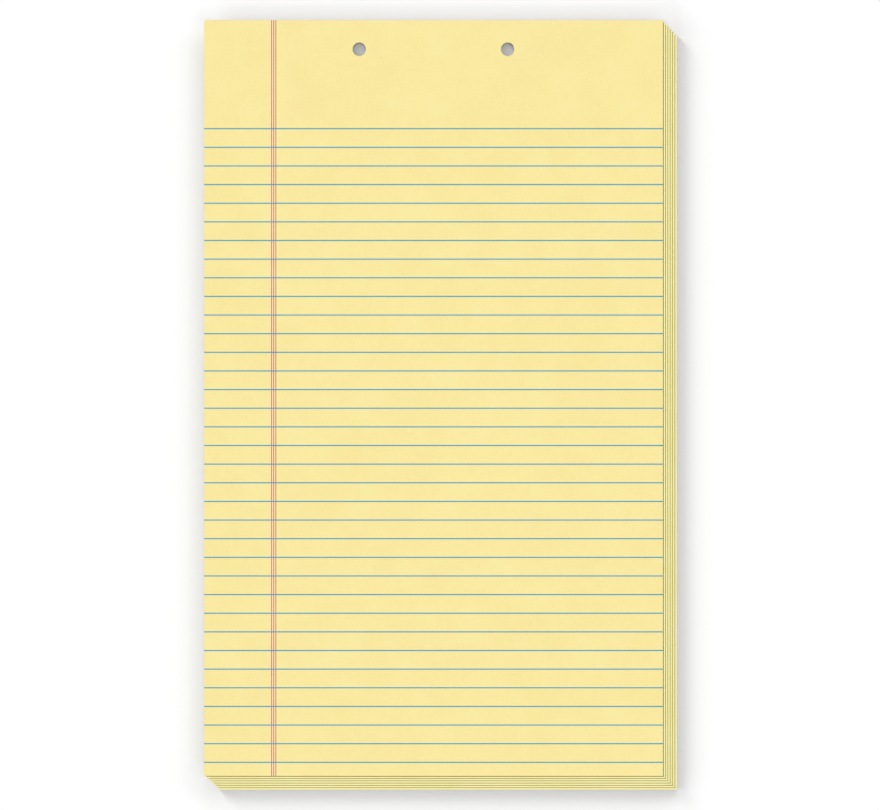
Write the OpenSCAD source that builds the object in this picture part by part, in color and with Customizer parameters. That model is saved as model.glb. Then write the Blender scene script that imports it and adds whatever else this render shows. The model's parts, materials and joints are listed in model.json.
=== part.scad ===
// Writing pad of ruled sheets with two punched holes, a chipboard back and a glued head.
// It lies on its back with the head towards +Y. The stack leans to the right and towards
// the foot, in bunches of sheets, so the sheet edges show as steps along those two sides.
// All lengths are in millimetres.

/* [Sheet] */
// Width of a sheet
sheet_w = 215.9; // [140:0.1:300]
// Length of a sheet, from head to foot
sheet_l = 355.6; // [200:0.1:440]
// Thickness that one sheet adds to the stack
sheet_t = 0.11; // [0.08:0.01:0.2]
// Number of sheets in the pad
sheet_count = 50; // [25:1:100]

/* [Lean] */
// Number of bunches that the sheets have slipped into
bunch_count = 7; // [2:1:8]
// How far a bunch stands out to the right past the one above it
step_right = 1.12; // [0:0.01:1.25]
// How far a bunch stands out towards the foot past the one above it
step_foot = 1.12; // [0:0.01:1.25]

/* [Punching] */
// Diameter of a punched hole
hole_d = 6.35; // [5:0.05:8]
// Distance between the centres of the two holes
hole_spacing = 69.85; // [60:0.05:120]
// Distance from the head of the top sheet to the centres of the holes
hole_inset = 13.6; // [13:0.1:30]

/* [Ruling] */
// Distance from the head of the top sheet to the first rule
rule_inset = 51; // [25:0.5:80]
// Distance from one rule to the next
rule_pitch = 8.77; // [5:0.01:12]
// Width of a printed rule
rule_w = 0.5; // [0.1:0.05:1]
// Least bare strip between the last rule and the foot
foot_space = 5; // [2:0.5:30]

/* [Margin] */
// Distance from the left edge to the first margin line
margin_inset = 31.75; // [10:0.05:60]
// Number of margin lines
margin_count = 3; // [1:1:4]
// Distance from one margin line to the next
margin_pitch = 1; // [0.5:0.05:3]
// Width of a printed margin line
margin_line_w = 0.35; // [0.1:0.05:0.45]

/* [Back and binding] */
// Thickness of the chipboard back
board_t = 0.8; // [0.4:0.05:2]
// Thickness of the glue film along the head
glue_t = 0.25; // [0.1:0.05:0.6]

/* [Hidden] */

// Facets of a drawn circle
$fn = 64;
// How far a cut runs past the faces that it opens
overrun = 1;
// Thickness of the red print, which goes on first
margin_ink_t = 0.015;
// Thickness of the blue print, which crosses over the red
rule_ink_t = 0.03;

canary_paper = [0.984, 0.918, 0.635];
grey_chipboard = [0.66, 0.61, 0.53];
clear_glue = [0.93, 0.90, 0.80];
rule_blue = [0.20, 0.62, 0.77];
margin_red = [0.74, 0.38, 0.47];

// Height of the back and the sheets, without the print
pad_t = board_t + sheet_count * sheet_t;

// How far the lowest bunch stands out past the top sheet
top_bunch = bunch_count - 1;
lean_right = top_bunch * step_right;
lean_foot = top_bunch * step_foot;

// Whole sheets below bunch k, counted up from the back, and where that bunch lies
function sheets_below(k) = floor(k * sheet_count / bunch_count);
function bunch_base(k) = board_t + sheets_below(k) * sheet_t;
function bunch_t(k) = (sheets_below(k + 1) - sheets_below(k)) * sheet_t;

// Rules that fit from the first one down to the bare strip at the foot
rule_count = 1 + floor((sheet_l - rule_inset - foot_space) / rule_pitch);

// Length of the glue film, which stays under the bunch above it
glue_l = sheet_w - step_right;
// Height of its lower edge, clear of the face that the pad lies on
glue_base = board_t / 4;

// Draws from the left foot corner of the back, with the whole outline centred on the origin
module on_back() {
    translate([(lean_right - sheet_w) / 2, -(sheet_l + lean_foot + glue_t) / 2, 0])
        children();
}

// Draws from the same corner of bunch k
module on_bunch(k) {
    translate([-k * step_right, k * step_foot, bunch_base(k)])
        children();
}

// Draws from the same corner of the top sheet's upper face, which carries the print
module on_top_sheet() {
    translate([-lean_right, lean_foot, pad_t])
        children();
}

// The two holes, punched square through the whole leaning stack
module punched_holes() {
    on_top_sheet()
        for (side = [-1, 1])
            translate([
                (sheet_w + side * hole_spacing) / 2,
                sheet_l - hole_inset,
                -pad_t - overrun
            ])
                cylinder(d = hole_d, h = pad_t + 2 * overrun);
}

// All the sheets as one solid, one slab for each bunch
module page_block() {
    color(canary_paper)
        on_back()
            difference() {
                for (k = [0 : top_bunch])
                    on_bunch(k)
                        cube([sheet_w, sheet_l, bunch_t(k)]);
                punched_holes();
            }
}

// The stiff back, under the lowest bunch
module backing_board() {
    color(grey_chipboard)
        on_back()
            difference() {
                cube([sheet_w, sheet_l, board_t]);
                punched_holes();
            }
}

// A length of glue film along a head edge, from its section in y and z
module glue_strip(section) {
    translate([0, sheet_l, 0])
        rotate([90, 0, 90])
            linear_extrude(height = glue_l)
                polygon(section);
}

// The film of glue that holds the head edges of the sheets and the back together.
// It fills the step under each bunch and feathers out on the head of the top one.
module binding_glue() {
    color(clear_glue)
        on_back() {
            glue_strip([[0, glue_base], [glue_t, glue_base], [glue_t, board_t], [0, board_t]]);
            for (k = [0 : top_bunch - 1])
                on_bunch(k)
                    glue_strip([
                        [0, 0], [glue_t, 0], [glue_t + step_foot, bunch_t(k)], [0, bunch_t(k)]
                    ]);
            on_bunch(top_bunch)
                glue_strip([[0, 0], [glue_t, 0], [0, bunch_t(top_bunch)]]);
        }
}

// The margin lines down the top sheet
module margin_strips() {
    for (m = [0 : margin_count - 1])
        translate([margin_inset + m * margin_pitch - margin_line_w / 2, 0, 0])
            cube([margin_line_w, sheet_l, margin_ink_t]);
}

// The rules across the top sheet
module rule_strips() {
    for (n = [0 : rule_count - 1])
        translate([0, sheet_l - rule_inset - n * rule_pitch - rule_w / 2, 0])
            cube([sheet_w, rule_w, rule_ink_t]);
}

// The blue print, which steps up over the red lines that it crosses
module blue_ruling() {
    color(rule_blue)
        on_back()
            on_top_sheet()
                difference() {
                    rule_strips();
                    margin_strips();
                }
}

// The red print
module red_margin() {
    color(margin_red)
        on_back()
            on_top_sheet()
                margin_strips();
}

page_block();
backing_board();
binding_glue();
blue_ruling();
red_margin();
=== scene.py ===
"""Ruled writing pad lying on a white table, seen square from above."""

import json
import math
import random

import bpy
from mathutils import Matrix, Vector


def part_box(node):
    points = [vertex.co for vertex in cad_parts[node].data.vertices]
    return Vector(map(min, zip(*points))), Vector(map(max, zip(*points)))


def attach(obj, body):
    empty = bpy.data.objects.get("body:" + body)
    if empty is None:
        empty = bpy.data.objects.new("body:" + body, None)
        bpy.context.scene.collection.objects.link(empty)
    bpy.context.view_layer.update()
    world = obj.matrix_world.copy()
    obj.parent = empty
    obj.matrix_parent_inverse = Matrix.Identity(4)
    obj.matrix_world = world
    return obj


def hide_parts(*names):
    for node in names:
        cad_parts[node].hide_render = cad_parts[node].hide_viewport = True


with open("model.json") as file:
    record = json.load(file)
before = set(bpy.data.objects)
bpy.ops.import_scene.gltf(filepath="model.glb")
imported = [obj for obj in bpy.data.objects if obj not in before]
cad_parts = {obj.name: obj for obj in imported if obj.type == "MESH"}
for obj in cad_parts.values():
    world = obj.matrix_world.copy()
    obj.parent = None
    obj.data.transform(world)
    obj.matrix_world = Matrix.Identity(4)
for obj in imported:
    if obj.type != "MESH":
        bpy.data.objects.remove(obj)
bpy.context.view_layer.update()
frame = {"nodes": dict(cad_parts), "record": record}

# Sheets: how many there are, and how they lie, in metres
SHEETS = 50
BUNCHES = 7
AIR_BETWEEN_SHEETS = 0.000012
SLIP_WITHIN_BUNCH = 0.00005
LOOSE_SLIP = 0.00003
SLIP_SEED = 7

# Punch, in metres and in radii of a hole
HOLE_SIDES = 64
HOLE_OVERRUN = 0.001
HOLE_REACH = 2
MILLIMETRES_A_METRE = 1000

# Cut edges: how little their normals rise, and how much of the painted pale edge grey each kind shows
EDGE_RISE = 0.5
TRIMMED_EDGE_GREY_SHARE = 0.2
PUNCHED_EDGE_GREY_SHARE = 1.0

# Faces that meet at less than this angle, in degrees, are shaded as one
SMOOTH_ANGLE = 40

# Colours, 0 to 255 on the screen: the deeper and the paler tone of each finish
TOP_PAPER = ((247, 228, 152), (252, 238, 168))
# Paper of the sheets below the top one, painted paler than the top sheet: a painted highlight on the
# steps of the stack
UNDER_PAPER_PAINTED_PALER = ((250, 239, 166), (254, 248, 186))
# Cut edges are painted a near-white grey, not the paper's yellow: the hole walls throw pale, neutral
# light down into the holes, which read an even grey, and the trimmed edges' yellow is dulled a little
CUT_EDGE_PAINTED_GREY = ((236, 237, 236), (250, 251, 250))
RULE_BLUE = ((6, 149, 192), (34, 165, 199))
MARGIN_RED = ((176, 72, 106), (205, 105, 133))
CHIPBOARD = ((140, 128, 110), (178, 168, 148))
CHIPBOARD_FLECK = (92, 82, 70)
PADDING_GLUE = ((226, 212, 168), (243, 236, 212))

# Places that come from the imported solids
page_low, page_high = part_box("page_block")
board_low, board_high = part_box("backing_board")
sheet_width = board_high.x - board_low.x
sheet_length = board_high.y - board_low.y
sheet_pitch = (page_high.z - page_low.z) / SHEETS
step_left = (page_high.x - page_low.x - sheet_width) / (BUNCHES - 1)
step_head = (page_high.y - page_low.y - sheet_length) / (BUNCHES - 1)
punch_holes = [mount for mount in frame["record"]["mounts"] if mount["kind"] == "bore"]

# Picture: where its centre falls on the pad, and how it is taken
PICTURE_WIDTH = 880
PIXELS_A_METRE = 2125
PICTURE_CENTRE = (-0.0003, 0.0)
LENS = 300
SENSOR = 36
NEAREST_SEEN = 0.01
FARTHEST_SEEN = 100

# Table: its width, how far it lies under the pad, and the grey that it throws back up
TABLE_WIDTH = 8
TABLE_DROP = 0.00005
TABLE_GREY = 0.4

# Light: the sky and the pad lights make up the pad's light, and the sky and the table lights
# the table's. Each light has the azimuths of its lamps, their elevation and softness in degrees,
# and the share that they give together of the light on a flat face.
SKY_SHARE = 0.20
PAD_LIGHTS = (
    ("key light", (-45,), 51, 2, 0.78),
    ("grazing light", (135,), 4, 5, 0.02),
)
TABLE_LIGHTS = (
    ("low light", (-45,), 18, 14, 0.205),
    ("low light from head and left", (-90, 0), 19, 22, 0.165),
    ("light from across", (115, 155), 40, 14, 0.095),
    ("light from the other corners", (30, 60, 210, 240), 23, 14, 0.195),
    ("straight light", (0,), 89, 24, 0.15),
)
WHITE = (1.0, 1.0, 1.0)


def clear_selection():
    """Deselects every object."""
    bpy.ops.object.select_all(action="DESELECT")


def only(piece):
    """Selects one object and makes it the active one."""
    clear_selection()
    piece.select_set(True)
    bpy.context.view_layer.objects.active = piece


# Sheets of paper

def sheets_below(bunch):
    """Whole sheets under a bunch, counted up from the back."""
    return bunch * SHEETS // BUNCHES


def hole_radius(hole):
    """Radius of a hole, in metres."""
    return hole["dims"]["r_mm"] / MILLIMETRES_A_METRE


def punch(leaf, hole):
    """Cuts one round hole through a leaf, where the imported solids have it."""
    x, y, z = hole["pos_m"]
    bpy.ops.mesh.primitive_cylinder_add(
        vertices=HOLE_SIDES,
        radius=hole_radius(hole),
        depth=page_high.z + HOLE_OVERRUN,
        location=(x, y, z),
    )
    cutter = bpy.context.object
    only(leaf)
    cut = leaf.modifiers.new("punched hole", "BOOLEAN")
    cut.operation = "DIFFERENCE"
    cut.solver = "EXACT"
    cut.object = cutter
    bpy.ops.object.modifier_apply(modifier=cut.name)
    bpy.data.objects.remove(cutter, do_unlink=True)


def is_punched(point):
    """Whether a point of a cut edge lies on the wall of a hole."""
    for hole in punch_holes:
        x, y, _ = hole["pos_m"]
        if math.hypot(point.x - x, point.y - y) < HOLE_REACH * hole_radius(hole):
            return True
    return False


def mark_cut_edges(leaf):
    """Notes on each face how much of the painted pale edge grey it shows, which is none on the flat
    faces.
    """
    marks = leaf.data.attributes.new("painted_edge_share", "FLOAT", "FACE")
    for face, mark in zip(leaf.data.polygons, marks.data):
        if abs(face.normal.z) < EDGE_RISE:
            mark.value = PUNCHED_EDGE_GREY_SHARE if is_punched(face.center) else TRIMMED_EDGE_GREY_SHARE


def cut_leaf(bunch):
    """The lowest leaf of a bunch: a thin sheet at its place in the leaning stack, punched square."""
    thickness = sheet_pitch - AIR_BETWEEN_SHEETS
    left = board_low.x - bunch * step_left
    foot = board_low.y + bunch * step_head
    top = page_low.z + (sheets_below(bunch) + 1) * sheet_pitch
    clear_selection()
    bpy.ops.mesh.primitive_cube_add(
        size=1,
        location=(left + sheet_width / 2, foot + sheet_length / 2, top - thickness / 2),
        scale=(sheet_width, sheet_length, thickness),
    )
    leaf = bpy.context.object
    bpy.ops.object.transform_apply(location=True, rotation=True, scale=True)
    for hole in punch_holes:
        punch(leaf, hole)
    mark_cut_edges(leaf)
    return leaf


def leaf_slip(rng, bunch, level, count):
    """How far a leaf has slipped to the left and the head of its bunch, more so the higher it lies.

    The leaf on the back and the top bunch, which carries the print, lie true.
    """
    on_back = bunch == 0 and level == 0
    if on_back or bunch == BUNCHES - 1:
        return Vector((0, 0))
    drift = SLIP_WITHIN_BUNCH * (level / count)
    loose_x = rng.uniform(0, LOOSE_SLIP)
    loose_y = rng.uniform(0, LOOSE_SLIP)
    return Vector((-drift - loose_x, drift + loose_y))


def lay_leaf(pattern, level, slip):
    """A copy of a bunch's first leaf, laid some levels higher and slipped a little."""
    only(pattern)
    bpy.ops.object.duplicate()
    bpy.ops.transform.translate(value=(slip.x, slip.y, level * sheet_pitch))
    bpy.ops.object.transform_apply(location=True, rotation=True, scale=True)
    return bpy.context.object


def join_leaves(leaves):
    """Joins leaves into the first of them."""
    only(leaves[0])
    for leaf in leaves:
        leaf.select_set(True)
    bpy.ops.object.join()
    return leaves[0]


def lay_sheets():
    """The leaves under the top sheet as one piece, and the top sheet by itself."""
    rng = random.Random(SLIP_SEED)
    leaves = []
    for bunch in range(BUNCHES):
        pattern = cut_leaf(bunch)
        count = sheets_below(bunch + 1) - sheets_below(bunch)
        for level in range(count):
            slip = leaf_slip(rng, bunch, level, count)
            leaves.append(lay_leaf(pattern, level, slip))
        bpy.data.objects.remove(pattern, do_unlink=True)
    top = leaves.pop()
    top.name = "top_sheet"
    under = join_leaves(leaves)
    under.name = "under_sheets"
    for piece in (under, top):
        only(piece)
        bpy.ops.object.shade_smooth_by_angle(angle=math.radians(SMOOTH_ANGLE))
    return under, top


# Nodes that the materials share

def new_material(name):
    """A material with its node tree and its shader."""
    material = bpy.data.materials.new(name)
    material.use_nodes = True
    tree = material.node_tree
    shader = tree.nodes["Principled BSDF"]
    return material, tree, shader


def object_place(tree, scale):
    """Object coordinates, stretched by a scale for each axis."""
    place = tree.nodes.new("ShaderNodeTexCoord")
    mapping = tree.nodes.new("ShaderNodeMapping")
    mapping.inputs["Scale"].default_value = scale
    tree.links.new(place.outputs["Object"], mapping.inputs["Vector"])
    return mapping.outputs["Vector"]


def noise(tree, scale, detail=2.0, roughness=0.5):
    """Cloudy noise, with a scale in cells a metre for each axis."""
    texture = tree.nodes.new("ShaderNodeTexNoise")
    texture.inputs["Scale"].default_value = 1.0
    texture.inputs["Detail"].default_value = detail
    texture.inputs["Roughness"].default_value = roughness
    tree.links.new(object_place(tree, scale), texture.inputs["Vector"])
    return texture.outputs["Fac"]


def weighted_sum(tree, parts):
    """The sum of (value, weight) pairs."""
    total = None
    for value, weight in parts:
        step = tree.nodes.new("ShaderNodeMath")
        step.operation = "MULTIPLY_ADD"
        step.inputs[1].default_value = weight
        step.inputs[2].default_value = 0.0
        tree.links.new(value, step.inputs[0])
        if total is not None:
            tree.links.new(total, step.inputs[2])
        total = step.outputs["Value"]
    return total


def spread(tree, value, low, high):
    """Stretches a value so that low becomes 0 and high becomes 1, held within those."""
    stretch = tree.nodes.new("ShaderNodeMapRange")
    stretch.inputs["From Min"].default_value = low
    stretch.inputs["From Max"].default_value = high
    tree.links.new(value, stretch.inputs["Value"])
    return stretch.outputs["Result"]


def linear(colour):
    """A screen colour, 0 to 255, in linear light."""
    def one(level):
        share = level / 255
        return share / 12.92 if share <= 0.04045 else ((share + 0.055) / 1.055) ** 2.4
    return tuple(one(level) for level in colour)


def blend_colours(tree, factor, first, second):
    """A colour between two, each written in linear light or taken from a socket."""
    mix = tree.nodes.new("ShaderNodeMix")
    mix.data_type = "RGBA"
    tree.links.new(factor, mix.inputs["Factor"])
    for socket, colour in ((mix.inputs["A"], first), (mix.inputs["B"], second)):
        if isinstance(colour, tuple):
            socket.default_value = (*colour, 1.0)
        else:
            tree.links.new(colour, socket)
    return mix.outputs["Result"]


def blend_tones(tree, factor, tones):
    """A colour between the two tones of a finish."""
    deep, pale = tones
    return blend_colours(tree, factor, linear(deep), linear(pale))


def coat(tree, shader, colour, roughness, specular):
    """Gives a shader its colour, from a socket, and its evenly rough or shiny surface."""
    tree.links.new(colour, shader.inputs["Base Color"])
    shader.inputs["Roughness"].default_value = roughness
    shader.inputs["Specular IOR Level"].default_value = specular


def add_bump(tree, shader, height, distance, strength):
    """Raises and sinks a surface, over a distance in metres."""
    bump = tree.nodes.new("ShaderNodeBump")
    bump.inputs["Distance"].default_value = distance
    bump.inputs["Strength"].default_value = strength
    tree.links.new(height, bump.inputs["Height"])
    tree.links.new(bump.outputs["Normal"], shader.inputs["Normal"])


def seen_plainly(tree):
    """1 where the camera sees a surface straight, mirrored or through something clear, else 0."""
    path = tree.nodes.new("ShaderNodeLightPath")
    kinds = ("Is Camera Ray", "Is Glossy Ray", "Is Transmission Ray")
    return weighted_sum(tree, [(path.outputs[kind], 1.0) for kind in kinds])


# Materials

def canary_paper(name, tones):
    """Uncoated yellow writing paper: cloudy formation, short fibres and a fine tooth."""
    material, tree, shader = new_material(name)
    cloud = noise(tree, (70, 70, 70), detail=3)
    mottle = noise(tree, (900, 900, 900))
    along = noise(tree, (350, 2600, 2600))
    across = noise(tree, (2600, 350, 2600))
    tone = weighted_sum(tree, [(cloud, 0.34), (mottle, 0.30), (along, 0.18), (across, 0.18)])
    face_colour = blend_tones(tree, spread(tree, tone, low=0.32, high=0.68), tones)
    # Cut edges get a painted pale grey, so that the hole walls throw pale neutral light into the holes
    layers = noise(tree, (160, 160, 5200), detail=3)
    painted_edge_grey = blend_tones(tree, spread(tree, layers, low=0.38, high=0.62), CUT_EDGE_PAINTED_GREY)
    cut = tree.nodes.new("ShaderNodeAttribute")
    cut.attribute_name = "painted_edge_share"
    colour = blend_colours(tree, cut.outputs["Fac"], face_colour, painted_edge_grey)
    coat(tree, shader, colour, roughness=0.9, specular=0.2)
    tooth = weighted_sum(tree, [(along, 0.4), (across, 0.4), (mottle, 0.2)])
    add_bump(tree, shader, tooth, distance=0.00003, strength=0.35)
    return material


def printed_ink(name, tones):
    """Ink on paper, a little thinner here and there where the sheet took less."""
    material, tree, shader = new_material(name)
    run = noise(tree, (120, 120, 120), detail=3)
    grain = noise(tree, (4000, 4000, 4000))
    density = weighted_sum(tree, [(run, 0.55), (grain, 0.45)])
    colour = blend_tones(tree, spread(tree, density, low=0.35, high=0.75), tones)
    coat(tree, shader, colour, roughness=0.75, specular=0.2)
    add_bump(tree, shader, grain, distance=0.00002, strength=0.3)
    return material


def grey_chipboard():
    """Recycled board: grey-brown pulp with long fibres and dark flecks."""
    material, tree, shader = new_material("grey chipboard")
    cloud = noise(tree, (90, 90, 90), detail=4)
    pulp = noise(tree, (1400, 500, 1400), detail=4, roughness=0.65)
    flecks = noise(tree, (700, 450, 700), detail=3, roughness=0.6)
    tone = weighted_sum(tree, [(cloud, 0.35), (pulp, 0.65)])
    pulp_colour = blend_tones(tree, spread(tree, tone, low=0.36, high=0.64), CHIPBOARD)
    dark = spread(tree, flecks, low=0.64, high=0.72)
    colour = blend_colours(tree, dark, pulp_colour, linear(CHIPBOARD_FLECK))
    coat(tree, shader, colour, roughness=0.92, specular=0.2)
    add_bump(tree, shader, tone, distance=0.00008, strength=0.6)
    return material


def padding_glue():
    """Dried padding glue: a pale rubbery film with brush marks along the head."""
    material, tree, shader = new_material("padding glue")
    brush = noise(tree, (60, 3000, 3000), detail=3)
    cloud = noise(tree, (150, 150, 150))
    tone = weighted_sum(tree, [(brush, 0.6), (cloud, 0.4)])
    colour = blend_tones(tree, spread(tree, tone, low=0.35, high=0.65), PADDING_GLUE)
    coat(tree, shader, colour, roughness=0.38, specular=0.5)
    shader.inputs["Subsurface Weight"].default_value = 0.15
    shader.inputs["Subsurface Radius"].default_value = (0.0006, 0.0005, 0.0003)
    add_bump(tree, shader, brush, distance=0.00006, strength=0.6)
    return material


def white_table():
    """A table that looks white and throws little light back up at the pad."""
    material, tree, shader = new_material("white table")
    grey = (TABLE_GREY, TABLE_GREY, TABLE_GREY)
    colour = blend_colours(tree, seen_plainly(tree), grey, WHITE)
    coat(tree, shader, colour, roughness=1.0, specular=0.0)
    return material


def dress(piece, material):
    """Gives a piece its material."""
    if piece.material_slots:
        piece.material_slots[0].material = material
    else:
        piece.data.materials.append(material)


# Table, light and camera

def lay_table():
    """The table under the pad, which isn't part of it."""
    clear_selection()
    bpy.ops.mesh.primitive_plane_add(size=TABLE_WIDTH, location=(0, 0, -TABLE_DROP))
    table = bpy.context.object
    table.name = "table"
    table.data.materials.append(white_table())
    return table


def add_sun(name, azimuth, elevation, softness, share):
    """A distant lamp that gives its share of the light on a flat sheet.

    Its azimuth is clockwise from the head.
    """
    turn = math.radians(azimuth)
    rise = math.radians(elevation)
    towards = Vector((
        math.sin(turn) * math.cos(rise),
        math.cos(turn) * math.cos(rise),
        math.sin(rise),
    ))
    lamp = bpy.data.lights.new(name, "SUN")
    lamp.energy = share * math.pi / math.sin(rise)
    lamp.angle = math.radians(softness)
    sun = bpy.data.objects.new(name, lamp)
    sun.rotation_euler = towards.to_track_quat("Z", "Y").to_euler()
    bpy.context.scene.collection.objects.link(sun)
    return sun


def shine_only_on(sun, pieces):
    """Keeps a lamp's light to some pieces. All the others still throw their shadows on them."""
    lit = bpy.data.collections.new(sun.name + " falls here")
    for piece in pieces:
        lit.objects.link(piece)
    sun.light_linking.receiver_collection = lit


def light_pieces(lights, pieces):
    """Lights some pieces. The lamps of one light give equal parts of its share."""
    for name, azimuths, elevation, softness, share in lights:
        for azimuth in azimuths:
            sun = add_sun(name, azimuth, elevation, softness, share / len(azimuths))
            shine_only_on(sun, pieces)


def light_sky():
    """An even white sky, which the camera sees as plain white."""
    world = bpy.data.worlds.new("studio sky")
    bpy.context.scene.world = world
    world.use_nodes = True
    tree = world.node_tree
    sky = tree.nodes["Background"]
    backdrop = tree.nodes.new("ShaderNodeBackground")
    for background, strength in ((sky, SKY_SHARE), (backdrop, 1.0)):
        background.inputs["Color"].default_value = (*WHITE, 1.0)
        background.inputs["Strength"].default_value = strength
    choose = tree.nodes.new("ShaderNodeMixShader")
    tree.links.new(seen_plainly(tree), choose.inputs["Fac"])
    tree.links.new(sky.outputs["Background"], choose.inputs[1])
    tree.links.new(backdrop.outputs["Background"], choose.inputs[2])
    tree.links.new(choose.outputs["Shader"], tree.nodes["World Output"].inputs["Surface"])


def place_camera():
    """Straight above the pad, with its head at the top of the picture."""
    camera = bpy.data.cameras.new("camera")
    camera.lens = LENS
    camera.sensor_width = SENSOR
    camera.clip_start = NEAREST_SEEN
    camera.clip_end = FARTHEST_SEEN
    width = PICTURE_WIDTH / PIXELS_A_METRE
    height = page_high.z + width * LENS / SENSOR
    stand = bpy.data.objects.new("camera", camera)
    stand.location = (*PICTURE_CENTRE, height)
    bpy.context.scene.collection.objects.link(stand)
    bpy.context.scene.camera = stand


place_camera()
light_sky()
table = lay_table()

under_sheets, top_sheet = lay_sheets()
# The sheets below get the paler paper, a painted highlight on the steps along the right and the foot
under_paper_painted_paler = canary_paper("canary paper below, painted paler", UNDER_PAPER_PAINTED_PALER)
top_paper = canary_paper("canary paper", TOP_PAPER)
for sheets, paper in ((under_sheets, under_paper_painted_paler), (top_sheet, top_paper)):
    dress(sheets, paper)
    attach(sheets, "root")
    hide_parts("page_block")

finishes = {
    "blue_ruling": (printed_ink("rule blue", RULE_BLUE), "rule_blue"),
    "red_margin": (printed_ink("margin red", MARGIN_RED), "margin_red"),
    "backing_board": (grey_chipboard(), "grey_chipboard"),
    "binding_glue": (padding_glue(), "padding_glue"),
}
for node, (material, slot) in finishes.items():
    dress(frame["nodes"][node], material)

pad = [under_sheets, top_sheet] + [frame["nodes"][node] for node in finishes]
light_pieces(PAD_LIGHTS, pad)
light_pieces(TABLE_LIGHTS, [table])

bpy.context.scene.view_settings.view_transform = "Standard"
